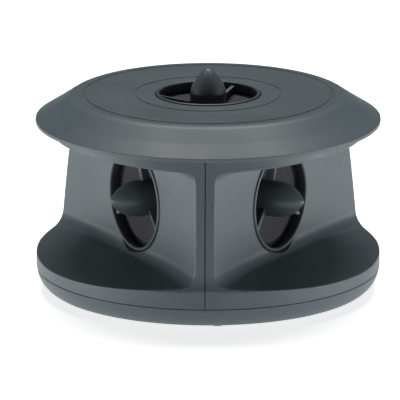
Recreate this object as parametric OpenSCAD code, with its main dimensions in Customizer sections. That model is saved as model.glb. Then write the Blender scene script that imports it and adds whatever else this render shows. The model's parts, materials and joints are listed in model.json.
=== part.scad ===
// Pest repeller: a three-sided tower with a loudspeaker horn in each side and one in its cap.
// Origin: middle of the footprint, on the surface that the feet stand on. A rib faces -Y.

/* [Overall] */
// Outer diameter of the base and of the cap
body_d = 200; // [180:1:240]
// Height of the flat top above the surface that the feet stand on
body_h = 115.4; // [114:0.1:140]
// Depth of the cap, from the flat top down to the tower's top edge
cap_h = 17.4; // [15:0.1:22]
// Height of the base tray, from its underside to the seam
tray_h = 10.9; // [10.5:0.1:16]
// Height of the rim band, from the seam to the pocket floors' outer edge
band_h = 7.2; // [6.8:0.1:12]
// Height that the feet lift the tray
foot_lift = 2.5; // [1:0.1:5]

/* [Walls and seams] */
// Thickness of the moulded walls
wall = 2.4; // [2:0.1:2.8]
// Width of the shadow lines between the mouldings
seam_w = 0.6; // [0.3:0.1:1]
// Depth of the shadow lines
seam_d = 1.2; // [0.6:0.1:1.6]
// Gap round a piece that drops into an opening
fit_gap = 0.3; // [0.2:0.05:0.5]

/* [Tower] */
// Distance from the centre line to each flat side
wall_dist = 48.6; // [46:0.1:56]
// How far the tower's top edge is set in from the base
tower_inset = 11.3; // [9:0.1:13]
// How far a rib's foot is set in from the base
foot_inset = 3.1; // [2:0.1:5]
// Height over the pocket floors' outer edge at which a rib's foot curve starts and ends
foot_low = 2.6; // [2:0.1:4]
foot_high = 11.6; // [9:0.1:14]
// Angle by which the sides flare towards the ribs
flare = 7.4; // [4:0.1:8]
// Lean of the line where the flare starts, outwards towards the cap
flare_lean = 21.8; // [18:0.1:26]
// Rise of the pocket floor from its outer edge to the side
floor_rise = 6.4; // [3:0.1:8]
// Height of the band over a pocket's mouth
header_h = 5.5; // [4:0.1:7]
// Drop of the pocket ceiling from the mouth to the side
ceiling_drop = 2.3; // [1.5:0.1:4]
// Fillet between a side and the pocket floor
floor_fillet = 6; // [3:0.5:9]
// Fillet between a side and the pocket ceiling
ceiling_fillet = 5.5; // [3:0.5:8]

/* [Cap] */
// Radius of the cap's flat top
cap_flat_r = 77.5; // [76:0.5:82]
// Thickness of the cap's rim
cap_rim_t = 2; // [1.5:0.1:4]
// Height of the rim's lower edge over the tower's top edge
cap_rim_lift = 1.6; // [0.5:0.1:3]
// Width of the cap's seat on the tower
cap_seat_w = 9; // [6:0.5:10]
// Inner radii of the two fine rings in the flat top
ring_inner_r = [41.4, 71];
// Width of a fine ring
ring_w = 1.9; // [1:0.1:3]
// Depth of a fine ring
ring_d = 0.4; // [0.2:0.1:0.8]

/* [Horns] */
// Radius of the horn's mouth
mouth_r = 28.2; // [23:0.1:28.6]
// How much the horn's bore widens towards its back end
throat_flare = 1.1; // [0.6:0.1:1.4]
// Width of the horn's ring at its mouth
horn_wall = 2.3; // [2:0.1:2.8]
// Height of the rounded lip over the wall
lip_h = 0.9; // [0.5:0.1:2]
// Depth of the horn behind the wall's face
horn_depth = 5; // [4.6:0.1:7]
// Width and thickness of the flange that stops the horn behind the wall
horn_flange_w = 2.5; // [1.5:0.1:3.5]
horn_flange_t = 2; // [1:0.1:2.2]
// Radius of the phase plug
plug_r = 10.5; // [8:0.1:12]
// Height of the phase plug's tip over the wall
plug_tip = 15.8; // [10:0.1:20]
// Length of the plug's curved nose
plug_nose = 18; // [14:0.5:22]
// Depth of the plug's back end behind the wall's face
plug_depth = 11; // [9:0.1:11.4]
// Thickness of the three vanes
vane_t = 2.4; // [1.5:0.1:4]

/* [Loudspeakers] */
// Thickness of the foam gasket between horn and speaker
gasket_t = 0.4; // [0.3:0.1:1]
// Thickness of the cone's surround
surround_t = 0.4; // [0.3:0.1:0.8]
// Thickness of the frame's flange
frame_t = 1.2; // [1:0.1:2]
// Distance of the frame's edge from the outside of the horn
frame_out = 2.5; // [1.5:0.1:3.5]
// Distance of the screw circle from the outside of the horn
ear_out = 7.5; // [7:0.1:9]
// Depth of the frame behind its flange
frame_depth = 13; // [12.5:0.1:16]
// Radius of the magnet
magnet_r = 15; // [12:0.1:16]
// Thickness of the magnet
magnet_t = 6; // [4:0.5:8]
// Thickness of the steel washer and of the yoke's plate
steel_t = 2; // [1.5:0.1:3]
// Radius of the voice coil's former
coil_r = 6.8; // [6:0.1:7.5]
// Gap that lets the cone move
cone_gap = 0.35; // [0.3:0.01:0.5]
// How far the cone's edge lies inside the horn's mouth
cone_in = 1.75; // [1.7:0.05:3]
// Depth of the cone
cone_depth = 8.1; // [7.5:0.1:9]

/* [Fasteners] */
// Distance of the case screws' circle from the tower's top edge
post_in = 16.7; // [16:0.1:19]
// Distance of a case screw from the seam plane
post_off = 5; // [4.8:0.1:6]
// Radius of a case screw's thread
case_screw_r = 1.45; // [1.2:0.05:1.6]
// Radius of a case screw's head
case_head_r = 2.8; // [2.4:0.1:2.9]
// Radius of a speaker screw's thread
small_screw_r = 1.1; // [0.9:0.05:1.3]
// Gap between a screw's thread and its pilot hole
thread_gap = 0.05; // [0.02:0.01:0.1]

/* [Feet and board] */
// Radius of a rubber foot
foot_r = 4.8; // [4:0.1:5.5]
// Distance of a foot from the centre line
foot_dist = 81.5; // [80:0.5:84]
// Angle of a foot from its rib
foot_turn = 4.7; // [4:0.1:8]
// Thickness of the circuit board
board_t = 1.6; // [1:0.1:2]
// Height of the board over the tray's floor
board_lift = 2; // [1.5:0.1:3]
// Half the width of the circuit board
board_x = 42; // [41:1:46]

/* [Controls] */
// Radius of the power socket's opening
jack_r = 2.95; // [2.6:0.05:3.2]
// Radius of the power socket's nose
nose_r = 4.2; // [3.8:0.1:4.3]
// Radius of the selector knob
knob_r = 4.4; // [3.5:0.1:4.4]
// Radius of the selector's shaft
shaft_r = 1.5; // [1.2:0.1:2]
// Running gap round the selector's shaft
shaft_gap = 0.05; // [0.02:0.01:0.1]
// Angle of the knob and the lamp from the power socket
control_turn = 15; // [12:1:16]
// Radius of the lamp
lamp_r = 1.5; // [1.5:0.1:2.5]

/* [Hidden] */
$fn = 96;
eps = 0.01;
fillet_steps = 6;
SIDES = ["right", "left", "rear"];
PLACES = ["right", "left", "rear", "top"];

// Heights and radii that follow from the sizes above
body_r = body_d / 2;
seam_z = foot_lift + tray_h;
band_top = seam_z + band_h;
tower_top = body_h - cap_h;
reach = 2 * body_r;
foot_top = band_top + foot_high;
foot_steps = 3;
side_steps = 4;
side_bow = 0.25;
floor_len = norm([1, floor_rise / (body_r - wall_dist)]);
floor_slope = floor_rise / (body_r - wall_dist);
ceiling_slope = ceiling_drop / (body_r - tower_inset - wall_dist);
ceiling_len = norm([1, ceiling_slope]);
horn_z = (floor_z(wall_dist) + ceiling_z(wall_dist)) / 2;
side_turn = [-30, -150, 90];
rib_turn = [-90, 30, 150];
top_turn = -30;
horn_r = mouth_r + horn_wall;
throat_r = mouth_r + throat_flare;
horn_flange_r = horn_r + horn_flange_w;
hole_r = horn_r + fit_gap;
horn_relief_r = horn_r + 1.3;
flat_u = horn_flange_r + wall + 4.9;
cap_seat_r = body_r - tower_inset - cap_seat_w;
relief_len = floor_fillet + 2;

// Levels behind the wall's face, along a horn's own axis
surround_z = -horn_depth - gasket_t - surround_t;
frame_back_z = surround_z - frame_t;
frame_base_z = frame_back_z - frame_depth;
washer_z = frame_base_z - steel_t;
magnet_z = washer_z - magnet_t;
yoke_z = magnet_z - steel_t;
cone_z = surround_z - 0.1;
cone_foot_z = cone_z - cone_depth;
spider_z = frame_base_z + 3.2;
surround_r = horn_r - 0.1;
frame_r = horn_r + frame_out;
ear_r = horn_r + ear_out;
cone_r = mouth_r - cone_in;
roll_r = 0.8;
roll_mid_r = cone_r + cone_gap + roll_r;
frame_in_r = roll_mid_r + roll_r + 0.2;
ledge_r = magnet_r + 4.2;
boss_r = 3.4;
small_pilot_r = small_screw_r + thread_gap;
small_bite = 4;
terminal_y = -24.5;
terminal_z = frame_base_z + 4.5;

// Case and cap screws, and the posts that they hold
pilot_r = case_screw_r + thread_gap;
clear_r = case_screw_r + fit_gap;
post_r = body_r - tower_inset - post_in;
rib_flange_t = 2;
flange_gap = 0.05;
rib_flange_r = post_r - 5;
post_h = 16;
case_bite = 12;
cap_bite = 8;
head_h = 2.2;
head_recess = 3.6;
lip_t = 1.6;
lip_up = 2.5;
tray_arc = 14;
tray_arc_x = body_r - tray_arc - 0.2;
tray_arc_z = seam_z + 0.9;
foot_sink = 1;

// Board and what it carries
board_z = foot_lift + wall + board_lift;
board_top = board_z + board_t;
board_r = body_r - 10;
board_front = 34;
board_hole = [board_x - 6, board_front - 6];
board_hole_far = 62;
board_screw_r = 1.2;
header_size = [8, 5, 5];
lead_r = 1.2;
bend_swell = 0.1;
control_z = seam_z;
control_drop = control_z - board_top;
control_top = band_h - wall * floor_len - 0.3;
socket_front = body_r - 5;

function floor_z(x, g = 0) = band_top + floor_slope * (body_r - x) - g * floor_len;
function ceiling_z(x, g = 0) = tower_top - header_h
    - ceiling_slope * (body_r - tower_inset - x) + g * ceiling_len;
function polar(r, a) = [r * cos(a), r * sin(a)];

// Moves a horn's own axis, +Z outwards and +Y up, to its side of the tower or to the cap
module at_horn(k) {
    if (k == 3)
        translate([0, 0, body_h]) rotate([0, 0, top_turn]) children();
    else
        rotate([0, 0, side_turn[k]]) translate([wall_dist, 0, horn_z]) rotate([90, 0, 90]) children();
}

// The four screw places round a speaker, on the horn's own axis
module at_ears() {
    for (i = [0:3]) rotate([0, 0, 45 + 90 * i]) translate([ear_r, 0, 0]) children();
}

// The screw posts on both sides of one rib, for a rib that lies along +X
module beside_rib() {
    for (s = [-1, 1]) translate([post_r, s * post_off, 0]) children();
}

module at_all_posts() {
    for (a = rib_turn) rotate([0, 0, a]) beside_rib() children();
}

// A control's own axis: +X points outwards through the rim, at the seam's height
module at_control(turn) {
    rotate([0, 0, 90 + turn]) translate([0, 0, control_z]) children();
}

module round_bar(r, x0, x1) {
    translate([x0, 0, 0]) rotate([0, 90, 0]) cylinder(r = r, h = x1 - x0);
}

module at_feet() {
    for (a = rib_turn) rotate([0, 0, a + foot_turn]) translate([foot_dist, 0, 0]) children();
}

// ---- Housing ----

// Points of an arc from angle a0 to a1 round the centre c
function arc(c, r, a0, a1) = [for (i = [0:fillet_steps]) c + polar(r, a0 + (a1 - a0) * i / fillet_steps)];

// Side view of a pocket, grown by g: x is the distance from the centre line, y the height
module pocket_profile(g) {
    far = 2 * body_r;
    floor_r = floor_fillet + g;
    floor_x = wall_dist + floor_fillet;
    ceiling_r = ceiling_fillet + g;
    ceiling_x = wall_dist + ceiling_fillet;
    polygon(concat(
        arc([floor_x, floor_z(floor_x, g) + floor_r * floor_len], floor_r, 180, 270 - atan(floor_slope)),
        [[far, floor_z(far, g)], [far, ceiling_z(far, g)]],
        arc([ceiling_x, ceiling_z(ceiling_x, g) - ceiling_r * ceiling_len], ceiling_r,
            90 + atan(ceiling_slope), 180)
    ));
}

// Everything outside the plane of a flared end, grown by g
module flared_end(g) {
    translate([wall_dist, flat_u, floor_z(wall_dist)]) rotate([-flare_lean, 0, 0]) rotate([0, 0, -flare])
        translate([-g, -reach, -reach]) cube(2 * reach);
}

// The space under the cap on one side, grown by g; its fillets run out on the flared ends
module pocket(g) {
    intersection() {
        translate([0, reach, 0]) rotate([90, 0, 0]) linear_extrude(2 * reach) pocket_profile(g);
        flared_end(g);
        mirror([0, 1, 0]) flared_end(g);
    }
}

// Radius and height on a rib's foot curve, from the base at t = 0 to the side at t = 1
function foot_curve(t) = [
    body_r - foot_inset * t * (1.65 - 0.65 * t),
    band_top + foot_low + (foot_high - foot_low) * t * (0.85 + 0.15 * t)
];

// Radius and height on a rib's bowed side, from its foot at t = 0 to the cap at t = 1
function side_curve(t) = [
    body_r - foot_inset - (tower_inset - foot_inset) * t * (1 - side_bow + side_bow * t),
    foot_top + (tower_top - foot_top) * t
];

// Half section of the tower's outside, set in by an inset and longer by over at both ends
module tower_section(inset, over) {
    curve = concat(
        [for (i = [0:foot_steps - 1]) foot_curve(i / foot_steps)],
        [for (i = [0:side_steps]) side_curve(i / side_steps)]
    );
    polygon(concat(
        [[0, seam_z - over], [body_r - inset, seam_z - over]],
        [for (p = curve) [p[0] - inset, p[1]]],
        [[body_r - tower_inset - inset, tower_top + over], [0, tower_top + over]]
    ));
}

// One third of the tower, hollow, with its pocket towards +X
module shell_skin() {
    difference() {
        difference() {
            rotate([0, 0, -60]) rotate_extrude(angle = 120) tower_section(0, 0);
            pocket(0);
        }
        difference() {
            rotate_extrude() tower_section(wall, 1);
            pocket(wall);
        }
    }
}

// Half of the shadow line down a rib that lies along +X
module rib_groove() {
    rotate([90, 0, 0]) linear_extrude(seam_w, center = true) difference() {
        tower_section(-1, 1);
        tower_section(seam_d, 2);
    }
}

module seam_groove() {
    rotate_extrude() translate([body_r - seam_d, seam_z - seam_w / 2]) square([seam_d + 1, seam_w]);
}

// Flange, post and tab on the +Y side of a rib that lies along +X
module rib_fittings() {
    z0 = seam_z + lip_up + fit_gap;
    translate([0, rib_flange_t + flange_gap, 0]) rotate([90, 0, 0]) linear_extrude(rib_flange_t)
        intersection() {
            tower_section(wall / 2, 0);
            translate([rib_flange_r, z0]) square([body_r, tower_top - z0]);
        }
    translate([post_r, post_off, seam_z]) cylinder(r = boss_r, h = post_h);
    translate([post_r, post_off, tower_top - wall]) cylinder(r = boss_r + 0.8, h = wall);
}

module rib_holes() {
    translate([post_r, post_off, seam_z - 1]) cylinder(r = pilot_r, h = case_bite + 2);
    translate([post_r, post_off, tower_top - wall - 1]) cylinder(r = clear_r, h = wall + 2);
}

module both_ribs() {
    rotate([0, 0, -60]) children();
    mirror([0, 1, 0]) rotate([0, 0, -60]) children();
}

// Wall bosses for a speaker's screws, on the horn's own axis
module speaker_bosses() {
    at_ears() translate([0, 0, surround_z]) cylinder(r = boss_r, h = -surround_z - wall + eps);
}

module horn_hole() {
    translate([0, 0, -wall - 1]) cylinder(r = hole_r, h = wall + 2);
    at_ears() translate([0, 0, surround_z - 1]) cylinder(r = small_pilot_r, h = small_bite + 1.4);
}

// Openings in the rim for the power socket, the knob and the lamp
module control_holes() {
    at_control(0) round_bar(nose_r + fit_gap, socket_front - 2, body_r + 2);
    at_control(-control_turn) round_bar(knob_r + fit_gap + 0.2, socket_front - 2, body_r + 2);
    at_control(control_turn) round_bar(lamp_r + fit_gap, socket_front - 2, body_r + 2);
}

module side_shell(k) {
    color("#3b454a") difference() {
        union() {
            rotate([0, 0, side_turn[k]]) {
                shell_skin();
                both_ribs() rib_fittings();
            }
            at_horn(k) speaker_bosses();
        }
        rotate([0, 0, side_turn[k]]) both_ribs() {
            rib_holes();
            rib_groove();
        }
        at_horn(k) horn_hole();
        at_horn(k) cylinder(r = horn_relief_r, h = relief_len);
        seam_groove();
        if (k == 2) control_holes();
    }
}

// Half section of the cap
module cap_section() {
    rim_top = tower_top + cap_rim_lift + cap_rim_t;
    knee = [cap_flat_r + 2, body_h - 0.5];
    skirt = [body_r, rim_top] - knee;
    inside = wall * [skirt[1], -skirt[0]] / norm(skirt);
    seat_top = tower_top + wall;
    reach = (knee[1] + inside[1] - seat_top) / -skirt[1];
    polygon([
        [hole_r, body_h], [cap_flat_r, body_h], knee,
        [body_r, rim_top], [body_r, rim_top - cap_rim_t],
        [body_r - tower_inset + fit_gap, tower_top], [cap_seat_r, tower_top], [cap_seat_r, seat_top],
        [knee[0] + inside[0] + reach * skirt[0], seat_top],
        [cap_flat_r - 1, body_h - wall], [hole_r, body_h - wall]
    ]);
}

module top_cap() {
    color("#3b454a") difference() {
        union() {
            rotate_extrude() cap_section();
            at_all_posts() translate([0, 0, tower_top]) cylinder(r = boss_r, h = cap_h - wall + eps);
            at_horn(3) speaker_bosses();
        }
        for (r = ring_inner_r) rotate_extrude() translate([r, body_h - ring_d]) square([ring_w, 1]);
        at_all_posts() translate([0, 0, tower_top - 1]) cylinder(r = pilot_r, h = cap_bite + 2);
        at_horn(3) horn_hole();
    }
}

// Half section of the tray, set in by an inset
module tray_section(inset) {
    intersection() {
        translate([0, foot_lift + inset]) square([body_r, tray_h]);
        union() {
            square([tray_arc_x, body_h]);
            translate([tray_arc_x, tray_arc_z]) circle(tray_arc - inset);
        }
    }
}

module tray_walls() {
    rotate_extrude() difference() {
        tray_section(0);
        translate([0, eps]) tray_section(wall);
        translate([0, seam_z - 1]) square([body_r - wall - 0.4, 3]);
    }
    rotate_extrude() translate([body_r - wall - fit_gap - lip_t, seam_z - 3.4])
        square([lip_t, lip_up + 3.4]);
}

module at_board_holes() {
    for (x = [-1, 1]) {
        translate([x * board_hole[0], -board_hole[1], 0]) children();
        translate([x * board_hole[0], board_hole_far, 0]) children();
    }
}

module base_tray() {
    color("#3b454a") difference() {
        union() {
            tray_walls();
            at_all_posts() translate([0, 0, foot_lift]) cylinder(r = boss_r + 1.2, h = tray_h);
            at_board_holes() translate([0, 0, foot_lift]) cylinder(r = boss_r, h = board_z - foot_lift);
        }
        at_all_posts() {
            translate([0, 0, foot_lift - 1]) cylinder(r = clear_r, h = tray_h + 2);
            translate([0, 0, foot_lift - 1]) cylinder(r = case_head_r + fit_gap, h = head_recess + 1);
        }
        at_feet() translate([0, 0, foot_lift - 1]) cylinder(r = foot_r + fit_gap, h = foot_sink + 1);
        at_board_holes() translate([0, 0, foot_lift + wall - 1])
            cylinder(r = board_screw_r + thread_gap, h = board_lift + 2);
        seam_groove();
        control_holes();
    }
}

module rubber_feet() {
    color("#1b1c1d") at_feet() rotate_extrude() polygon([
        [0, 0], [foot_r - 0.6, 0], [foot_r, 0.6],
        [foot_r, foot_lift + foot_sink], [0, foot_lift + foot_sink]
    ]);
}

// ---- Horns ----

module horn_ring() {
    lip_r = (horn_r - mouth_r) / 2;
    rotate_extrude() {
        translate([mouth_r + lip_r, lip_h - lip_r]) circle(lip_r);
        polygon([
            [mouth_r, lip_h - lip_r], [horn_r, lip_h - lip_r], [horn_r, -wall],
            [horn_flange_r, -wall], [horn_flange_r, -wall - horn_flange_t],
            [horn_r, -wall - horn_flange_t], [horn_r, -horn_depth], [throat_r, -horn_depth]
        ]);
    }
}

// The phase plug: an ogive nose on a short drum, hollow from behind
module phase_plug() {
    nose_z = plug_tip - plug_nose;
    nose_r = (plug_r * plug_r + plug_nose * plug_nose) / (2 * plug_r);
    difference() {
        rotate_extrude() {
            intersection() {
                translate([plug_r - nose_r, nose_z]) circle(nose_r);
                translate([0, nose_z]) square([plug_r, plug_nose - 0.6]);
            }
            translate([0, -plug_depth]) square([plug_r, nose_z + plug_depth]);
        }
        translate([0, 0, -plug_depth - 1]) cylinder(r = plug_r - 2, h = plug_depth + nose_z + 1);
        translate([0, 0, nose_z - eps]) cylinder(r1 = plug_r - 2, r2 = 1, h = plug_nose * 0.6);
    }
}

// Front edge falls towards the plug, back edge runs clear of the cone
module vane() {
    root_r = plug_r - 1;
    rim_r = horn_r - 0.7;
    rotate([90, 0, 0]) linear_extrude(vane_t, center = true) polygon([
        [root_r, -4.6], [mouth_r + 0.4, -0.5], [rim_r, -1.2],
        [rim_r, -horn_depth + 0.2], [mouth_r - 2.2, -horn_depth + 0.1], [root_r, -plug_depth + 0.4]
    ]);
}

module horn(k) {
    color("#30373b") at_horn(k) {
        horn_ring();
        phase_plug();
        for (i = [0:2]) rotate([0, 0, 90 + 120 * i]) vane();
    }
}

// ---- Loudspeakers ----

module tube(r_out, r_in, z0, h) {
    translate([0, 0, z0]) difference() {
        cylinder(r = r_out, h = h);
        translate([0, 0, -1]) cylinder(r = r_in, h = h + 2);
    }
}

module horn_gasket(k) {
    color("#202224") at_horn(k) tube(surround_r, throat_r - 0.3, surround_z + surround_t, gasket_t);
}

// Flat glued rim and one half roll
module cone_surround(k) {
    roll_in = roll_r - surround_t;
    color("#242628") at_horn(k) rotate_extrude() {
        translate([roll_mid_r + roll_in, surround_z])
            square([surround_r - roll_mid_r - roll_in, surround_t]);
        translate([roll_mid_r, surround_z]) intersection() {
            difference() {
                circle(roll_r);
                circle(roll_in);
            }
            translate([-roll_r, -roll_r]) square([2 * roll_r, roll_r]);
        }
    }
}

// Paper cone, dust dome and voice coil former in one turned piece
module speaker_cone(k) {
    paper = 0.5;
    rim_w = 1.4;
    dome_rise = 2;
    dome_r = (coil_r * coil_r + dome_rise * dome_rise) / (2 * dome_rise);
    former_end = washer_z - 0.5;
    color("#4c4950") at_horn(k) rotate_extrude() {
        polygon([
            [cone_r, cone_z], [cone_r - rim_w, cone_z], [coil_r, cone_foot_z],
            [coil_r - paper, cone_foot_z - 0.2], [coil_r - paper, former_end], [coil_r, former_end],
            [coil_r, cone_foot_z - 2 * paper], [cone_r - rim_w, cone_z - paper], [cone_r, cone_z - paper]
        ]);
        intersection() {
            translate([0, cone_foot_z + dome_rise - dome_r]) difference() {
                circle(dome_r);
                circle(dome_r - paper);
            }
            translate([0, cone_foot_z - paper]) square([coil_r - paper / 2, dome_rise + 2 * paper]);
        }
    }
}

module cone_spider(k) {
    color("#8a6a34") at_horn(k) tube(ledge_r - 0.2, coil_r + cone_gap, spider_z, 0.4);
}

module speaker_frame(k) {
    base_r = magnet_r + 1.2;
    color("#55595c") at_horn(k) difference() {
        union() {
            rotate_extrude() polygon([
                [frame_r, surround_z], [frame_r, frame_back_z], [frame_in_r + 2, frame_back_z],
                [ledge_r + 1, spider_z - 1], [base_r + 1, spider_z - 1], [base_r + 1, frame_base_z],
                [coil_r + cone_gap + 0.1, frame_base_z], [coil_r + cone_gap + 0.1, frame_base_z + 1],
                [base_r, frame_base_z + 1], [base_r, spider_z], [ledge_r, spider_z],
                [frame_in_r, frame_back_z], [frame_in_r, surround_z]
            ]);
            at_ears() translate([0, 0, frame_back_z]) cylinder(r = boss_r + 0.6, h = frame_t);
            for (i = [0:3]) rotate([0, 0, 45 + 90 * i]) translate([frame_r - 2, -4, frame_back_z])
                cube([ear_r - frame_r + 2, 8, frame_t]);
            translate([-4, terminal_y, terminal_z - 1.5]) cube([8, 4.5, 3]);
        }
        at_ears() translate([0, 0, frame_back_z - 1])
            cylinder(r = small_screw_r + fit_gap, h = frame_t + 2);
        for (i = [0:3]) rotate([0, 0, 45 + 90 * i]) translate([ledge_r - 1, -9, spider_z + 1.5])
            cube([20, 18, frame_back_z - spider_z - 3]);
    }
}

module pole_washer(k) {
    color("#9a9da0") at_horn(k) tube(magnet_r, coil_r + cone_gap, washer_z, steel_t);
}

module speaker_magnet(k) {
    color("#2a2a2c") at_horn(k) tube(magnet_r, coil_r + 1.8, magnet_z, magnet_t);
}

module magnet_yoke(k) {
    color("#9a9da0") at_horn(k) {
        translate([0, 0, yoke_z]) cylinder(r = magnet_r - 1, h = steel_t);
        translate([0, 0, magnet_z - eps])
            cylinder(r = coil_r - 0.5 - cone_gap, h = magnet_t + steel_t - 0.3);
    }
}

// ---- Fasteners ----

// A cross-head screw that points along +Z, its head's seat at z = 0
module screw(r, head_r, head, len) {
    difference() {
        union() {
            translate([0, 0, -head]) cylinder(r = head_r, h = head);
            translate([0, 0, -eps]) cylinder(r = r, h = len);
        }
        for (a = [0, 90]) rotate([0, 0, a]) translate([-head_r * 0.6, -0.3, -head - 1])
            cube([head_r * 1.2, 0.6, 1 + head / 2]);
    }
}

module speaker_screws() {
    color("#b9bcbf") for (k = [0:3]) at_horn(k) at_ears() translate([0, 0, frame_back_z])
        screw(small_screw_r, 2.2, 1.4, frame_t + small_bite);
}

module case_screws() {
    color("#b9bcbf") at_all_posts() translate([0, 0, foot_lift + head_recess])
        screw(case_screw_r, case_head_r, head_h, tray_h - head_recess + case_bite);
}

module cap_screws() {
    color("#b9bcbf") at_all_posts() translate([0, 0, tower_top - wall])
        screw(case_screw_r, case_head_r, head_h, wall + cap_bite);
}

module board_screws() {
    color("#b9bcbf") at_board_holes() translate([0, 0, board_top]) mirror([0, 0, 1])
        screw(board_screw_r, 2.4, 1.6, board_t + board_lift + 0.6);
}

// ---- Electronics ----

module circuit_board() {
    color("#2c6b3f") difference() {
        translate([0, 0, board_z]) linear_extrude(board_t) intersection() {
            circle(board_r);
            translate([-board_x, -board_front]) square([2 * board_x, board_front + body_r]);
        }
        at_board_holes() translate([0, 0, board_z - 1])
            cylinder(r = board_screw_r + fit_gap, h = board_t + 2);
    }
}

// A chip with a gull-wing foot strip on both long sides
module chip(size) {
    translate([-size[0] / 2, -size[1] / 2, 0.4]) cube(size);
    for (i = [0:3], s = [-1, 1])
        translate([(i - 1.5) * 1.27 - 0.2, s * (size[1] / 2 + 0.5) - 0.7, 0]) cube([0.4, 1.4, 0.8]);
}

module driver_chips() {
    color("#1a1a1c") for (x = [-27, -9, 9, 27]) translate([x, -28, board_top]) chip([6, 4, 1.6]);
}

module capacitors() {
    color("#2b2f55") for (p = [[-26, 42], [-13, 46], [24, 46]]) translate([p[0], p[1], board_top])
        rotate_extrude() polygon([
            [0, 0], [5, 0], [5, 1.2], [4.6, 1.6], [5, 2], [5, 11.6], [4.6, 12], [0, 12]
        ]);
}

// Ferrite core with its wound bobbin
module transformer() {
    color("#3a3a3c") translate([0, 10, board_top]) {
        for (s = [-1, 1]) translate([s * 9 - 2, -8, 0]) cube([4, 16, 13]);
        translate([-9, -4, 5]) cube([18, 8, 4]);
        translate([-7.5, 0, 7]) rotate([0, 90, 0]) cylinder(r = 6.4, h = 15);
    }
}

function header_at(k) = k == 3 ? [0, -12] : polar(wall_dist + terminal_z, side_turn[k]);

module lead_headers() {
    color("#e6e3d8") for (k = [0:3]) translate([header_at(k)[0], header_at(k)[1], board_top])
        rotate([0, 0, k == 3 ? 0 : side_turn[k] + 90])
            translate([-header_size[0] / 2, -header_size[1] / 2, 0]) cube(header_size);
}

// A round lead through a list of points
module lead(p) {
    for (i = [0:len(p) - 2]) {
        d = p[i + 1] - p[i];
        translate(p[i]) rotate([0, acos(d[2] / norm(d)), atan2(d[1], d[0])])
            cylinder(r = lead_r, h = norm(d));
    }
    if (len(p) > 2) for (i = [1:len(p) - 2]) translate(p[i]) sphere(lead_r + bend_swell);
}

function lead_end(k, z) = [header_at(k)[0], header_at(k)[1], z];

module speaker_leads() {
    plug_z = board_top + header_size[2];
    top_xy = -terminal_y * [cos(top_turn - 90), sin(top_turn - 90)];
    color("#7a2424") for (k = [0:2]) lead([lead_end(k, horn_z + terminal_y), lead_end(k, plug_z)]);
    color("#7a2424") lead([
        [top_xy[0], top_xy[1], body_h + terminal_z - 1.5],
        [top_xy[0], top_xy[1], body_h + yoke_z - 2],
        [0, 0, body_h + yoke_z - 14], [0, 0, horn_z - 24], lead_end(3, plug_z + 6), lead_end(3, plug_z)
    ]);
}

module power_socket() {
    color("#161718") at_control(0) difference() {
        union() {
            translate([socket_front - 11, -4.5, -control_drop]) cube([11, 9, control_drop + control_top]);
            round_bar(nose_r, socket_front - eps, body_r - 1.4);
        }
        round_bar(jack_r, socket_front - 6, body_r);
    }
}

module socket_pin() {
    color("#c9b063") at_control(0) round_bar(1.05, socket_front - 6, body_r - 4.5);
}

module status_lamp() {
    color("#b33a30") at_control(control_turn) {
        round_bar(lamp_r, socket_front - 1, body_r - 2);
        translate([body_r - 2, 0, 0]) sphere(lamp_r);
        round_bar(lamp_r + 0.4, socket_front - 2.5, socket_front - 1 + eps);
        for (s = [-1, 1]) translate([0, s, 0]) {
            round_bar(0.25, board_r - 1.5, socket_front - 2);
            translate([board_r - 1.5, 0, -control_drop]) cylinder(r = 0.25, h = control_drop + 0.25);
        }
    }
}

// Selector: body on the board, shaft that turns in it, knob on the shaft
module selector_body() {
    color("#2b2f33") at_control(-control_turn) difference() {
        union() {
            translate([board_r - 8, -5, -control_drop]) cube([8, 10, control_drop + control_top]);
            round_bar(2.8, board_r - eps, board_r + 1.6);
        }
        round_bar(shaft_r + shaft_gap, board_r - 6, board_r + 2);
    }
}

module selector_shaft() {
    color("#c4c6c8") at_control(-control_turn) round_bar(shaft_r, board_r - 5.6, body_r - 3.4);
}

// Twelve grip flutes and a screwdriver slot that shows where it points
module selector_knob() {
    back = board_r + 2.4;
    front = body_r - 0.6;
    color("#1d1f21") at_control(-control_turn) difference() {
        round_bar(knob_r, back, front);
        round_bar(shaft_r, back - 1, body_r - 3.4);
        for (a = [0:30:330]) rotate([a, 0, 0]) translate([0, knob_r + 0.2, 0])
            round_bar(0.5, body_r - 3, front + 1);
        translate([front - 1.2, -0.6, -knob_r]) cube([2, 1.2, 1.7 * knob_r]);
    }
}

top_cap();
for (k = [0:2]) {
    side_shell(k);
}
base_tray();
rubber_feet();
for (k = [0:3]) {
    horn(k);
    horn_gasket(k);
    cone_surround(k);
    speaker_cone(k);
    cone_spider(k);
    speaker_frame(k);
    pole_washer(k);
    speaker_magnet(k);
    magnet_yoke(k);
}
speaker_screws();
case_screws();
cap_screws();
board_screws();
circuit_board();
driver_chips();
capacitors();
transformer();
lead_headers();
speaker_leads();
power_socket();
socket_pin();
status_lamp();
selector_body();
selector_shaft();
selector_knob();
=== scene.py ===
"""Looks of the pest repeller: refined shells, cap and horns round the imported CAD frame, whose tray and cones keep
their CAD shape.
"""

import json
import math

import bmesh
import bpy
import numpy as np
from mathutils import Matrix, Vector


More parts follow.
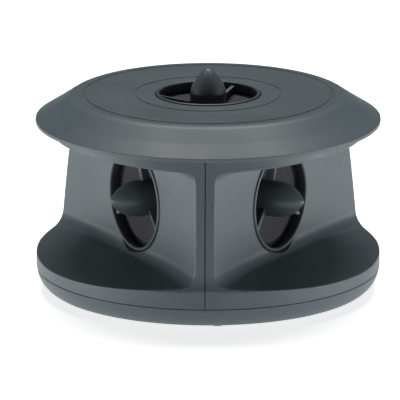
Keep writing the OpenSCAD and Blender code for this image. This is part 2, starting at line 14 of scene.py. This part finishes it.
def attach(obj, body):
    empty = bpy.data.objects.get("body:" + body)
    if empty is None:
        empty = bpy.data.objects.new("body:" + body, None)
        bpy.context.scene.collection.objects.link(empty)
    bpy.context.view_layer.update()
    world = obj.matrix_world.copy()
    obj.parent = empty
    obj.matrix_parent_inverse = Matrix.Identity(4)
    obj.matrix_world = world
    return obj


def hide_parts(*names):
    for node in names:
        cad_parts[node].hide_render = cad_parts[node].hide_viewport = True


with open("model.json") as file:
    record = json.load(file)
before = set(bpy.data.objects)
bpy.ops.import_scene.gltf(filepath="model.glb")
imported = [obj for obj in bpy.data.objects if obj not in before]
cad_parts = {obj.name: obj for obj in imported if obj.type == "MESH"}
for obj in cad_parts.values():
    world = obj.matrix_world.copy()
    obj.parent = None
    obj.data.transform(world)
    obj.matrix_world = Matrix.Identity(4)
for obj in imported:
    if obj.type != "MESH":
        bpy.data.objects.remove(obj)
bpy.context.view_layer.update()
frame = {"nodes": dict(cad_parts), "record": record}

MM = 0.001
PLACES = ("right", "left", "rear", "top")
SIDE_TURN = {"right": -30, "left": -150, "rear": 90}

# Sizes that the frame is built to, in millimetres
BODY_R = 100.0
BODY_H = 115.4
TOWER_TOP = 98.0
TOWER_INSET = 11.3
FOOT_INSET = 3.1
FLARE_U = 40.3
SEAM_Z = 13.4
SEAM_W = 0.6
SEAM_D = 1.2
BAND_TOP = 20.6
WALL = 2.4
WALL_DIST = 48.6
FLOOR_SLOPE = 6.4 / 51.4
CEILING_SLOPE = 2.3 / 40.1
CEILING_OUT = 92.5
HORN_Z = 58.6
HOLE_R = 30.8
RELIEF_R = 31.0
HALF_STEP = math.radians(3.75 / 2)  # keeps a drill's edges off the plane of the seam


# ---- Materials ----


class Nodes:
    """Short hand for building one material's node tree."""

    def __init__(self, name):
        self.mat = bpy.data.materials.new(name)
        self.mat.use_nodes = True
        self.tree = self.mat.node_tree
        self.tree.nodes.clear()
        self.out = self.add("ShaderNodeOutputMaterial")
        self.bsdf = self.add("ShaderNodeBsdfPrincipled")
        self.link(self.bsdf.outputs["BSDF"], self.out.inputs["Surface"])

    def add(self, kind, **inputs):
        node = self.tree.nodes.new(kind)
        for key, value in inputs.items():
            node.inputs[key.replace("_", " ")].default_value = value
        return node

    def link(self, a, b):
        self.tree.links.new(a, b)

    def coords(self, scale=(1, 1, 1)):
        """Object coordinates in millimetres times a scale."""
        tex = self.add("ShaderNodeTexCoord")
        mapping = self.add("ShaderNodeMapping")
        mapping.inputs["Scale"].default_value = [1000 * s for s in scale]
        self.link(tex.outputs["Object"], mapping.inputs["Vector"])
        return mapping.outputs["Vector"]

    def noise(self, vector, scale, detail=2.0, rough=0.5):
        node = self.add("ShaderNodeTexNoise", Scale=scale, Detail=detail, Roughness=rough)
        self.link(vector, node.inputs["Vector"])
        return node.outputs["Fac"]

    def ramp(self, fac, stops):
        node = self.add("ShaderNodeValToRGB")
        ramp = node.color_ramp
        while len(ramp.elements) < len(stops):
            ramp.elements.new(0.5)
        for element, (at, colour) in zip(ramp.elements, stops):
            element.position = at
            element.color = (*colour, 1)
        self.link(fac, node.inputs["Fac"])
        return node.outputs["Color"]

    def spread(self, fac, low, high):
        """A 0 to 1 signal stretched to low to high."""
        node = self.add("ShaderNodeMapRange")
        node.inputs["From Min"].default_value = 0.3
        node.inputs["From Max"].default_value = 0.7
        node.inputs["To Min"].default_value = low
        node.inputs["To Max"].default_value = high
        self.link(fac, node.inputs["Value"])
        return node.outputs["Result"]

    def bump(self, height, strength, distance_mm, normal=None):
        node = self.add("ShaderNodeBump", Strength=strength, Distance=distance_mm * MM)
        self.link(height, node.inputs["Height"])
        if normal is not None:
            self.link(normal, node.inputs["Normal"])
        self.link(node.outputs["Normal"], self.bsdf.inputs["Normal"])
        return node.outputs["Normal"]

    def set(self, **values):
        for key, value in values.items():
            self.bsdf.inputs[key.replace("_", " ")].default_value = value


def shade(colour, factor):
    return tuple(min(1.0, c * factor) for c in colour)


def grained(name, colour, rough, grain_mm, depth_mm, mottle=0.12, specular=0.5, patches=0.06):
    """Moulded plastic with a spark-eroded grain, faint mottling and slow changes of gloss."""
    n = Nodes(name)
    where = n.coords()
    fine = n.noise(where, 1.0 / grain_mm, 3.0, 0.6)
    slow = n.noise(where, 0.03, 2.0)
    mix = n.add("ShaderNodeMix")
    mix.data_type = "RGBA"
    mix.blend_type = "MULTIPLY"
    mix.inputs["Factor"].default_value = 1.0
    n.link(n.ramp(fine, [(0.3, shade(colour, 1 - mottle)), (0.7, shade(colour, 1 + mottle))]), mix.inputs[6])
    n.link(n.ramp(slow, [(0.35, (1 - patches,) * 3), (0.65, (1.0, 1.0, 1.0))]), mix.inputs[7])
    n.link(mix.outputs[2], n.bsdf.inputs["Base Color"])
    n.link(n.spread(slow, rough - 0.04, rough + 0.04), n.bsdf.inputs["Roughness"])
    n.bump(fine, 0.6, depth_mm)
    n.set(Specular_IOR_Level=specular)
    return n.mat


def metal(name, colour, rough, scratch=(4, 0.2, 4)):
    """Plated or painted metal with fine lines and a little colour change."""
    n = Nodes(name)
    lines = n.noise(n.coords(scratch), 1.0, 3.0)
    n.link(n.ramp(lines, [(0.3, shade(colour, 0.85)), (0.7, shade(colour, 1.1))]), n.bsdf.inputs["Base Color"])
    n.link(n.spread(lines, rough - 0.06, rough + 0.08), n.bsdf.inputs["Roughness"])
    n.bump(lines, 0.15, 0.02)
    n.set(Metallic=1.0)
    return n.mat


def paper(name, colour):
    """Pressed paper pulp: fibres of two sizes, dull."""
    n = Nodes(name)
    where = n.coords()
    fibre = n.noise(where, 2.2, 5.0, 0.7)
    cloud = n.noise(where, 0.35, 3.0)
    n.link(n.ramp(fibre, [(0.3, shade(colour, 0.72)), (0.7, shade(colour, 1.3))]), n.bsdf.inputs["Base Color"])
    n.link(n.spread(cloud, 0.75, 0.92), n.bsdf.inputs["Roughness"])
    n.bump(fibre, 0.5, 0.08)
    n.set(Specular_IOR_Level=0.25)
    return n.mat


def woven(name, colour):
    """Open cloth dipped in resin."""
    n = Nodes(name)
    where = n.coords()
    waves = []
    for direction in ("X", "Y"):
        wave = n.add("ShaderNodeTexWave", Scale=0.55, Distortion=0.4)
        wave.bands_direction = direction
        n.link(where, wave.inputs["Vector"])
        waves.append(wave.outputs["Fac"])
    join = n.add("ShaderNodeMath")
    join.operation = "MAXIMUM"
    n.link(waves[0], join.inputs[0])
    n.link(waves[1], join.inputs[1])
    n.link(n.ramp(join.outputs[0], [(0.2, shade(colour, 0.5)), (0.8, colour)]), n.bsdf.inputs["Base Color"])
    n.bump(join.outputs[0], 0.6, 0.12)
    n.set(Roughness=0.6)
    return n.mat


def board(name):
    """Green solder mask over faint copper tracks."""
    n = Nodes(name)
    where = n.coords()
    tracks = n.add("ShaderNodeTexVoronoi", Scale=0.16)
    tracks.distance = "MANHATTAN"
    tracks.feature = "DISTANCE_TO_EDGE"
    n.link(where, tracks.inputs["Vector"])
    n.link(
        n.ramp(tracks.outputs["Distance"], [(0.04, (0.05, 0.22, 0.09)), (0.09, (0.02, 0.11, 0.045))]),
        n.bsdf.inputs["Base Color"],
    )
    n.bump(tracks.outputs["Distance"], 0.2, 0.05)
    n.set(Roughness=0.32)
    return n.mat


SHELL = (0.08, 0.107, 0.12)
MATERIALS = {
    "shell_plastic": grained("shell_plastic", SHELL, 0.48, 0.7, 0.09, mottle=0.2),
    # Horn colour: the horns' own darker plastic, made darker still as painted shade for the plug deep in the horn
    # mouth.
    "horn_plastic": grained("horn_plastic", (0.058, 0.076, 0.086), 0.42, 0.7, 0.02, mottle=0.06),
    "rubber_black": grained("rubber_black", (0.02, 0.021, 0.022), 0.75, 0.5, 0.05, specular=0.3),
    "foam": grained("foam", (0.018, 0.018, 0.02), 0.95, 0.35, 0.2, mottle=0.4, specular=0.15),
    "cone_paper": paper("cone_paper", (0.058, 0.056, 0.064)),
    "spider_cloth": woven("spider_cloth", (0.38, 0.25, 0.10)),
    "frame_steel": grained("frame_steel", (0.12, 0.125, 0.13), 0.4, 0.8, 0.03, mottle=0.08),
    "plated_steel": metal("plated_steel", (0.55, 0.56, 0.58), 0.32),
    "screw_steel": metal("screw_steel", (0.5, 0.51, 0.52), 0.28, (8, 8, 1)),
    "ferrite": grained("ferrite", (0.035, 0.035, 0.038), 0.7, 0.4, 0.05, mottle=0.3, specular=0.3),
    "board_green": board("board_green"),
    "chip_black": grained("chip_black", (0.012, 0.012, 0.014), 0.4, 0.6, 0.03, mottle=0.2),
    "capacitor_sleeve": grained("capacitor_sleeve", (0.03, 0.04, 0.12), 0.3, 1.5, 0.02),
    "header_plastic": grained("header_plastic", (0.72, 0.69, 0.6), 0.45, 0.9, 0.02, mottle=0.05),
    "lead_sheath": grained("lead_sheath", (0.25, 0.03, 0.03), 0.5, 0.8, 0.03, mottle=0.1),
    "brass_pin": metal("brass_pin", (0.72, 0.55, 0.22), 0.25),
    "lamp_red": grained("lamp_red", (0.5, 0.03, 0.025), 0.15, 2.0, 0.01, mottle=0.1),
    "knob_plastic": grained("knob_plastic", (0.016, 0.017, 0.018), 0.38, 0.5, 0.03, mottle=0.15),
}
slot_of = {s["node"]: s["material_slot"] for s in frame["record"]["subparts"]}
for name, obj in frame["nodes"].items():
    obj.data.materials.clear()
    obj.data.materials.append(MATERIALS[slot_of[name]])


# ---- Mesh helpers ----


def rounded(points, steps=6):
    """A closed section through (radius, height, fillet) points, with each fillet as an arc."""
    out, count = [], len(points)
    for i, (x, y, r) in enumerate(points):
        here = Vector((x, y))
        back = Vector(points[i - 1][:2]) - here
        ahead = Vector(points[(i + 1) % count][:2]) - here
        if r <= 0:
            out.append((x, y))
            continue
        half = back.angle(ahead) / 2
        cut = min(r / math.tan(half), back.length * 0.49, ahead.length * 0.49)
        r = cut * math.tan(half)
        a, b = here + back.normalized() * cut, here + ahead.normalized() * cut
        centre = here + (back.normalized() + ahead.normalized()).normalized() * (r / math.sin(half))
        start, sweep = a - centre, (a - centre).angle_signed(b - centre)
        for k in range(steps + 1):
            t = -sweep * k / steps
            out.append(
                (
                    centre.x + start.x * math.cos(t) - start.y * math.sin(t),
                    centre.y + start.x * math.sin(t) + start.y * math.cos(t),
                )
            )
    return out


def turned(bm, section, segments, place=Matrix.Identity(4)):
    """Adds a solid turned round the local Z axis from a closed section in millimetres."""
    rings = []
    for r, z in section:
        if r < 1e-6:
            rings.append([bm.verts.new(place @ Vector((0, 0, z)))] * segments)
            continue
        ring = []
        for k in range(segments):
            a = 2 * math.pi * k / segments
            ring.append(bm.verts.new(place @ Vector((r * math.cos(a), r * math.sin(a), z))))
        rings.append(ring)
    for i, low in enumerate(rings):
        high = rings[(i + 1) % len(rings)]
        for k in range(segments):
            n = (k + 1) % segments
            corners = []
            for v in (low[k], low[n], high[n], high[k]):
                if v not in corners:
                    corners.append(v)
            if len(corners) > 2:
                bm.faces.new(corners)


def mesh_from(bm, name):
    bmesh.ops.recalc_face_normals(bm, faces=bm.faces)
    bmesh.ops.scale(bm, vec=(MM, MM, MM), verts=bm.verts)
    mesh = bpy.data.meshes.new(name)
    bm.to_mesh(mesh)
    bm.free()
    return mesh


def linked(name, mesh):
    obj = bpy.data.objects.new(name, mesh)
    bpy.context.scene.collection.objects.link(obj)
    return obj


def combined(obj, other, operation):
    """Replaces obj's mesh by its boolean with another object, which is removed."""
    mod = obj.modifiers.new("cut", "BOOLEAN")
    mod.operation = operation
    mod.solver = "EXACT"
    mod.object = other
    made = bpy.data.meshes.new_from_object(obj.evaluated_get(bpy.context.evaluated_depsgraph_get()))
    obj.modifiers.clear()
    old = obj.data
    obj.data = made
    bpy.data.meshes.remove(old)
    bpy.data.objects.remove(other)


def finished(obj, node, body="housing"):
    """Smooth shading with crisp corners, the node's material, and its place in the frame."""
    mesh = obj.data
    mesh.materials.clear()
    mesh.materials.append(MATERIALS[slot_of[node]])
    mesh.shade_smooth()
    mesh.set_sharp_from_angle(angle=math.radians(38))
    even = obj.modifiers.new("even_normals", "WEIGHTED_NORMAL")
    even.keep_sharp = True
    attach(obj, body)
    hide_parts(node)


def horn_place(place):
    """From a horn's own axis, +Z outwards and +Y up, to the frame."""
    if place == "top":
        return Matrix.Translation((0, 0, BODY_H)) @ Matrix.Rotation(math.radians(-30), 4, "Z")
    swap = Matrix(((0, 0, 1, 0), (1, 0, 0, 0), (0, 1, 0, 0), (0, 0, 0, 1)))
    turn = Matrix.Rotation(math.radians(SIDE_TURN[place]), 4, "Z")
    return turn @ Matrix.Translation((WALL_DIST, 0, HORN_Z)) @ swap


# ---- Cap ----


def ring_groove(r):
    return [(r, BODY_H, 0.15), (r + 0.12, BODY_H - 0.4, 0.1), (r + 1.78, BODY_H - 0.4, 0.1), (r + 1.9, BODY_H, 0.15)]


def cap():
    """Flat top with two fine rings, a soft shoulder, a faintly hollow skirt and a thin rim."""
    section = [(HOLE_R, BODY_H - WALL, 0.2), (HOLE_R, BODY_H, 0.3)]
    section += ring_groove(41.4) + ring_groove(71.0)
    section += [
        (78.7, BODY_H, 11.0),
        (90.0, 107.85, 60.0),
        (BODY_R, 101.6, 0.5),
        (BODY_R, 99.6, 0.4),
        (BODY_R - TOWER_INSET + 0.3, TOWER_TOP, 0.3),
        (79.7, TOWER_TOP, 0.3),
        (79.7, 100.4, 0.3),
        (97.0, 100.4, 0.5),
        (76.5, BODY_H - WALL, 6.0),
    ]
    bm = bmesh.new()
    turned(bm, rounded(section), 256)
    tube = [(1.5, 0, 0), (3.4, 0, 0.2), (3.4, 1, 0), (1.5, 1, 0)]
    for rib in (-90, 30, 150):
        for side in (-1, 1):
            spot = Matrix.Rotation(math.radians(rib), 4, "Z") @ Matrix.Translation((72, side * 5.0, TOWER_TOP))
            turned(bm, [(r, z * (15.2 if z else 0)) for r, z, _ in tube], 32, spot)
    for k in range(4):
        spot = horn_place("top") @ Matrix.Rotation(math.radians(45 + 90 * k), 4, "Z")
        turned(bm, [(1.15 if r < 2 else r, -5.8 + 3.6 * z) for r, z, _ in tube], 32, spot @ Matrix.Translation((38, 0, 0)))
    obj = linked("cap_skin", mesh_from(bm, "cap_skin"))
    finished(obj, "top_cap")


# ---- Side shells ----


def soft_ramp(d, k):
    """Zero below 0 and d above it, with a soft start of width k."""
    return 0.5 * (d + np.sqrt(d * d + k * k))


def envelope(z):
    """Outer radius of the tower at a height."""
    t = (-0.85 + np.sqrt(0.7225 + 0.6 * np.clip((z - 23.2) / 9.0, 0, 1))) / 0.3
    foot = BODY_R - FOOT_INSET * t * (1.65 - 0.65 * t)
    s = np.clip((z - 32.2) / (TOWER_TOP - 32.2), 0, 1)
    return np.where(z < 32.2, foot, BODY_R - FOOT_INSET - (TOWER_INSET - FOOT_INSET) * s * (0.75 + 0.25 * s))


def wall_at(u, z):
    """Distance of a side from the centre line: flat round the horn, flaring to the ribs."""
    return WALL_DIST + 0.12 * soft_ramp(np.abs(u) - FLARE_U - 0.4 * (z - 27.0), 6.0) - 0.12 * 0.4


def floor_at(w):
    return BAND_TOP + FLOOR_SLOPE * (BODY_R - w)


def ceiling_at(w):
    return CEILING_OUT - CEILING_SLOPE * (BODY_R - TOWER_INSET - w)


def corner(a, b, r):
    """Both a and b kept below 0, with the edge between them rounded to r."""
    inside = np.minimum(-r, np.maximum(a, b))
    return inside + np.hypot(np.maximum(a + r, 0), np.maximum(b + r, 0))


def shell_field(r, phi, z, grow, edge):
    """Below 0 inside a shell's outside, or its inside where grow is the wall's thickness."""
    w, u = r * np.cos(phi), r * np.sin(phi)
    near = np.clip((np.abs(u) - 40) / 40, 0, 1)
    low = floor_at(w) - z - grow
    side = wall_at(u, z) - w - grow
    high = z - ceiling_at(w) - grow
    pocket = corner(corner(side, low, 6.0 + 2.0 * near + grow), high, 5.5 + grow)
    return corner(r - envelope(z) + grow, -pocket, edge)


def solved(phi, z, grow, edge):
    """Radius at which the shell's surface lies, for directions and heights."""
    low, high = np.full_like(z, 40.0), np.full_like(z, 101.0)
    for _ in range(44):
        mid = 0.5 * (low + high)
        outside = shell_field(mid, phi, z, grow, edge) > 0
        high, low = np.where(outside, mid, high), np.where(outside, low, mid)
    return 0.5 * (low + high)


def crossing(test, low, high):
    """Where test changes from below 0 to above it, between low and high."""
    low, high = low + np.zeros_like(high), high + np.zeros_like(low)
    for _ in range(40):
        mid = 0.5 * (low + high)
        over = test(mid) > 0
        high, low = np.where(over, mid, high), np.where(over, low, mid)
    return 0.5 * (low + high)


def rib_edge(z, grow):
    """Angle from a pocket's middle at which its side meets the outside, at a height."""

    def test(phi):
        r = envelope(z) - grow
        return wall_at(r * np.sin(phi), z) - grow - r * np.cos(phi)

    return crossing(test, np.full_like(z, math.radians(40)), np.full_like(z, math.radians(59.5)))


def bends(phi, grow):
    """Heights where a pocket's outline turns, on a vertical plane: lower rim, floor, ceiling, upper rim."""

    def level(surface, sign, radius):
        return crossing(
            lambda z: z - surface(radius(z)) - sign * grow, np.full_like(phi, 14.0), np.full_like(phi, 97.0)
        )

    def outside(z):
        return (envelope(z) - grow) * np.cos(phi)

    def side(z):
        w = np.full_like(phi, WALL_DIST)
        for _ in range(12):
            w = wall_at(w * np.tan(phi), z) - grow
        return w

    low = level(floor_at, -1, outside)
    foot = np.maximum(level(floor_at, -1, side), low + 0.25)
    head = level(ceiling_at, 1, side)
    high = np.maximum(level(ceiling_at, 1, outside), head + 0.25)
    return low, foot, head, high


ROWS_UNDER = (-1, 3.0, 1.4, 0.9, 0.62, 0.42, 0.26, 0.12, 0.0)
ROWS_FLOOR = (0.005, 0.013, 0.027, 0.055, 0.1, 0.16, 0.23, 0.3, 0.38, 0.46, 0.54, 0.62, 0.7, 0.77, 0.83, 0.88, 0.92, 0.955, 0.98, 1)
ROWS_FOOT = (0.15, 0.4, 0.8, 1.3, 1.9, 2.6, 3.4, 4.3, 5.2, 6.2, 7.5, 9.0)
ROWS_HEAD = (7.5, 6.2, 5.4, 4.6, 3.8, 3.0, 2.3, 1.6, 1.0, 0.5, 0.2, 0.0)
ROWS_CEILING = (0.03, 0.07, 0.12, 0.2, 0.3, 0.4, 0.5, 0.6, 0.7, 0.8, 0.88, 0.94, 0.975, 0.99, 1)
ROWS_OVER = (0.12, 0.26, 0.42, 0.62, 0.9, 1.4, 2.4)
NEAR_EDGE = (9.0, 7.4, 6.0, 4.9, 4.0, 3.2, 2.55, 2.0, 1.55, 1.15, 0.82, 0.55, 0.34, 0.18, 0.06)
PAST_EDGE = (0.06, 0.18, 0.34, 0.6, 1.0)


def shell_heights(phi, bottom, grow):
    """Heights of a grid's rows, for the columns' angles."""
    low, foot, head, high = bends(phi, grow)
    rows = [np.full_like(phi, bottom)]
    rows += [low - d for d in ROWS_UNDER[1:]]
    rows += [low + f * (foot - low) for f in ROWS_FLOOR]
    rows += [foot + d for d in ROWS_FOOT]
    start, end = foot + ROWS_FOOT[-1], head - ROWS_HEAD[0]
    rows += [start + (end - start) * k / 18 for k in range(1, 18)]
    rows += [head - d for d in ROWS_HEAD]
    rows += [head + f * (high - head) for f in ROWS_CEILING]
    rows += [high + d for d in ROWS_OVER]
    rows += [np.full_like(phi, TOWER_TOP)]
    return np.array(rows)


def shell_sheet(bottom, grow, edge):
    """Grid of points over a shell's outside, or its inside, between its two ribs."""
    top_phi = float(rib_edge(np.array([60.0]), grow)[0])
    guess = shell_heights(np.array([top_phi]), bottom, grow)[:, 0]
    bound = rib_edge(guess, grow)
    ends = math.radians(60) - 0.45 / BODY_R
    columns = []
    for sign in (-1, 1):
        half = [sign * (bound - math.radians(d)) for d in NEAR_EDGE]
        past = [sign * (bound + math.radians(d)) for d in PAST_EDGE]
        past += [sign * (bound + math.radians(1.0) + (ends - bound - math.radians(1.0)) * k / 3) for k in (1, 2, 3)]
        columns.append(half + past)
    inner = math.radians(NEAR_EDGE[0])
    middle = [(bound - inner) * (k / 28 - 1) for k in range(1, 56)]
    phi = np.array(columns[0][::-1] + middle + columns[1]).T
    z = np.empty_like(phi)
    for i in range(phi.shape[0]):
        limit = bound[i] - 1e-4
        z[i] = shell_heights(np.clip(phi[i], -limit, limit), bottom, grow)[i]
    r = solved(phi, z, grow, edge)
    return phi, r, z


def side_shell(place):
    """One third of the tower: pocket with filleted sides, rounded rims and half a shadow line at each rib."""
    phi, r, z = shell_sheet(SEAM_Z + SEAM_W / 2 + 0.15, 0.0, 0.6)
    skin = np.stack([r * np.cos(phi), r * np.sin(phi), z], axis=-1)
    phi_in, r_in, z_in = shell_sheet(SEAM_Z, WALL, 0.6)
    core = np.stack([r_in * np.cos(phi_in), r_in * np.sin(phi_in), z_in], axis=-1)

    def at_seam(points, sign, off, sink):
        """A column moved to a distance from the seam plane and in towards the axis."""
        radius = np.hypot(points[:, 0], points[:, 1]) - sink
        angle = sign * (math.radians(60) - off / radius)
        return np.stack([radius * np.cos(angle), radius * np.sin(angle), points[:, 2]], axis=-1)

    half = SEAM_W / 2
    for sign, last in ((-1, 0), (1, -1)):
        steps = [(half + 0.02, 0.15), (half, SEAM_D), (0.03, SEAM_D)]
        extra = np.stack([at_seam(skin[:, last], sign, off, sink) for off, sink in steps], axis=1)
        wall = np.stack([at_seam(core[:, last], sign, 0.03, 0.0)] * 1, axis=1)
        spare = np.stack([core[:, last]] * 2, axis=1)
        if sign < 0:
            skin = np.concatenate([extra[:, ::-1], skin], axis=1)
            core = np.concatenate([wall, spare[:, ::-1], core], axis=1)
        else:
            skin = np.concatenate([skin, extra], axis=1)
            core = np.concatenate([core, spare, wall], axis=1)

    def ring(sink, height):
        """The lowest row again, nearer to the axis and at another height."""
        row = skin[0].copy()
        radius = np.hypot(row[:, 0], row[:, 1])
        row[:, :2] *= (np.minimum(radius, BODY_R - sink) / radius)[:, None]
        row[:, 2] = height
        return row

    low = [ring(SEAM_D, SEAM_Z), ring(SEAM_D, SEAM_Z + half), ring(0.15, SEAM_Z + half)]
    rows = list(low) + list(skin) + list(core[::-1])
    bm = bmesh.new()
    grid = [[bm.verts.new(p) for p in row] for row in rows]
    count, width = len(grid), len(grid[0])
    for i in range(count):
        a, b = grid[i], grid[(i + 1) % count]
        for j in range(width - 1):
            bm.faces.new((a[j], a[j + 1], b[j + 1], b[j]))
    bound = len(low)
    for j in (0, width - 1):
        front = [row[j] for row in grid[: bound + len(skin)]]
        back = [row[j] for row in grid[bound + len(skin) :]][::-1]
        bm.faces.new(front + back[::-1])
    bmesh.ops.remove_doubles(bm, verts=bm.verts, dist=1e-5)
    bmesh.ops.rotate(bm, verts=bm.verts, matrix=Matrix.Rotation(math.radians(SIDE_TURN[place]), 3, "Z"))
    obj = linked("shell_" + place, mesh_from(bm, "shell_" + place))

    cut = bmesh.new()
    hole = [(0, -8), (HOLE_R, -8), (HOLE_R, -0.7), (RELIEF_R, -0.2), (RELIEF_R, 9), (0, 9)]
    turned(cut, hole, 128, horn_place(place))
    combined(obj, linked("cutter", mesh_from(cut, "cutter")), "DIFFERENCE")
    if place == "rear":
        for turn, radius in ((0, 4.5), (-15, 4.9), (15, 1.8)):
            spot = Matrix.Rotation(math.radians(90 + turn), 4, "Z") @ Matrix.Translation((0, 0, SEAM_Z))
            spot = spot @ Matrix.Rotation(math.radians(90), 4, "Y") @ Matrix.Rotation(HALF_STEP, 4, "Z")
            drill = bmesh.new()
            turned(drill, [(0, 92), (radius, 92), (radius, 103), (0, 103)], 48, spot)
            combined(obj, linked("drill", mesh_from(drill, "drill")), "DIFFERENCE")
    finished(obj, "side_shell_" + place)


# ---- Horns ----


def horn_mesh():
    """Ring with a rounded lip and a flared bore, an ogive plug and vanes with soft edges, as one skin."""
    bm = bmesh.new()
    ring = [
        (29.3, -5.0, 0.2),
        (28.3, -1.4, 3.0),
        (28.2, 0.9, 1.1),
        (30.5, 0.9, 1.1),
        (30.5, -2.4, 0),
        (33.0, -2.4, 0.3),
        (33.0, -4.4, 0.3),
        (30.5, -4.4, 0.1),
        (30.5, -5.0, 0.2),
    ]
    turned(bm, rounded(ring, 7), 128)
    body = linked("horn_body", mesh_from(bm, "horn_body"))
    bm = bmesh.new()
    bend = (10.5**2 + 18.0**2) / 21.0
    nose = [(0, 15.2), (0.5, 15.17), (0.95, 15.05)]
    for k in range(25):
        z = 14.8 - 17.0 * k / 24
        nose.append((10.5 - bend + math.sqrt(bend**2 - (z + 2.2) ** 2), z))
    nose += [(10.5, -6.0), (10.5, -10.8), (10.3, -11.0), (8.7, -11.0), (8.5, -10.8), (8.5, -4.0), (0, -3.6)]
    turned(bm, nose, 96)
    combined(body, linked("plug", mesh_from(bm, "plug")), "UNION")
    for k in range(3):
        bm = bmesh.new()
        stations = []
        for s in range(11):
            t = s / 10
            radius = 9.6 + 19.9 * t
            front = -4.5 + 4.0 * t**1.15 - (0.5 if s == 10 else 0)
            rear = -10.5 + 5.9 * min(1, t / 0.84)
            pitch = math.radians(4 + 8 * (1 - t))
            middle, deep, thick = (front + rear) / 2, (front - rear) / 2, 1.2
            loop = []
            for q in range(20):
                a = 2 * math.pi * q / 20
                c, d = math.cos(a), math.sin(a)
                x = thick * math.copysign(abs(c) ** 0.35, c)
                y = deep * math.copysign(abs(d) ** 0.22, d)
                x, y = x * math.cos(pitch) - y * math.sin(pitch), x * math.sin(pitch) + y * math.cos(pitch)
                loop.append(bm.verts.new((radius, x, middle + y)))
            stations.append(loop)
        for low, high in zip(stations, stations[1:]):
            for q in range(20):
                n = (q + 1) % 20
                bm.faces.new((low[q], low[n], high[n], high[q]))
        bm.faces.new(stations[0])
        bm.faces.new(stations[-1])
        turn = Matrix.Rotation(math.radians(90 + 120 * k), 4, "Z")
        bmesh.ops.transform(bm, matrix=turn, verts=bm.verts)
        combined(body, linked("vane", mesh_from(bm, "vane")), "UNION")
    mesh = body.data
    bpy.data.objects.remove(body)
    return mesh


def horns():
    mesh = horn_mesh()
    for place in PLACES:
        own = mesh.copy()
        scale = Matrix.Scale(MM, 4)
        own.transform(scale @ horn_place(place) @ scale.inverted())
        finished(linked("horn_skin_" + place, own), "horn_" + place)


cap()
for side in SIDE_TURN:
    side_shell(side)
horns()


# ---- Camera, floor and light ----


def aimed(obj, target):
    obj.rotation_euler = (Vector(target) - obj.location).to_track_quat("-Z", "Y").to_euler()


def camera():
    """Long lens, a little to the right of the front rib and a little above."""
    data = bpy.data.cameras.new("camera")
    data.lens = 526
    data.sensor_width = 36
    data.clip_start = 0.1
    data.clip_end = 50
    obj = bpy.data.objects.new("camera", data)
    bpy.context.scene.collection.objects.link(obj)
    turn, lift, distance = math.radians(1.1), math.radians(14.75), 3.4
    right = Vector((math.cos(turn), math.sin(turn), 0))
    target = Vector((0, 0, 0.0517)) - 0.0047 * right
    obj.location = target + distance * Vector(
        (math.sin(turn) * math.cos(lift), -math.cos(turn) * math.cos(lift), math.sin(lift))
    )
    aimed(obj, target)
    bpy.context.scene.camera = obj


def softbox(name, place, target, size, watts, colour=(1, 1, 1)):
    data = bpy.data.lights.new(name, "AREA")
    data.shape = "RECTANGLE"
    data.size, data.size_y = size
    data.energy = watts
    data.color = colour
    obj = bpy.data.objects.new(name, data)
    bpy.context.scene.collection.objects.link(obj)
    obj.location = place
    aimed(obj, target)


def floor():
    mesh = bpy.data.meshes.new("studio_floor")
    s = 12.0
    mesh.from_pydata([(-s, -s, 0), (s, -s, 0), (s, s, 0), (-s, s, 0)], [], [(0, 1, 2, 3)])
    obj = bpy.data.objects.new("studio_floor", mesh)
    bpy.context.scene.collection.objects.link(obj)
    n = Nodes("studio_floor")
    slow = n.noise(n.coords(), 0.002, 2.0)
    n.link(n.ramp(slow, [(0.3, (0.86, 0.86, 0.86)), (0.7, (0.9, 0.9, 0.9))]), n.bsdf.inputs["Base Color"])
    n.set(Roughness=0.9, Specular_IOR_Level=0.1, Emission_Color=(1, 1, 1, 1), Emission_Strength=0.72)
    mesh.materials.append(n.mat)


camera()
floor()
softbox("softbox_left", (-1.1, -0.2, 0.05), (0, 0, 0.055), (1.0, 0.14), 6.2)
softbox("softbox_right", (1.1, -0.2, 0.05), (0, 0, 0.055), (1.0, 0.14), 6.2)
softbox("softbox_top", (0, 0.42, 1.25), (0, 0, 0.1), (1.0, 0.5), 14)
world = bpy.data.worlds.new("studio")
world.use_nodes = True
world.node_tree.nodes["Background"].inputs["Color"].default_value = (1, 1, 1, 1)
world.node_tree.nodes["Background"].inputs["Strength"].default_value = 0.05
bpy.context.scene.world = world
bpy.context.scene.view_settings.view_transform = "Standard"
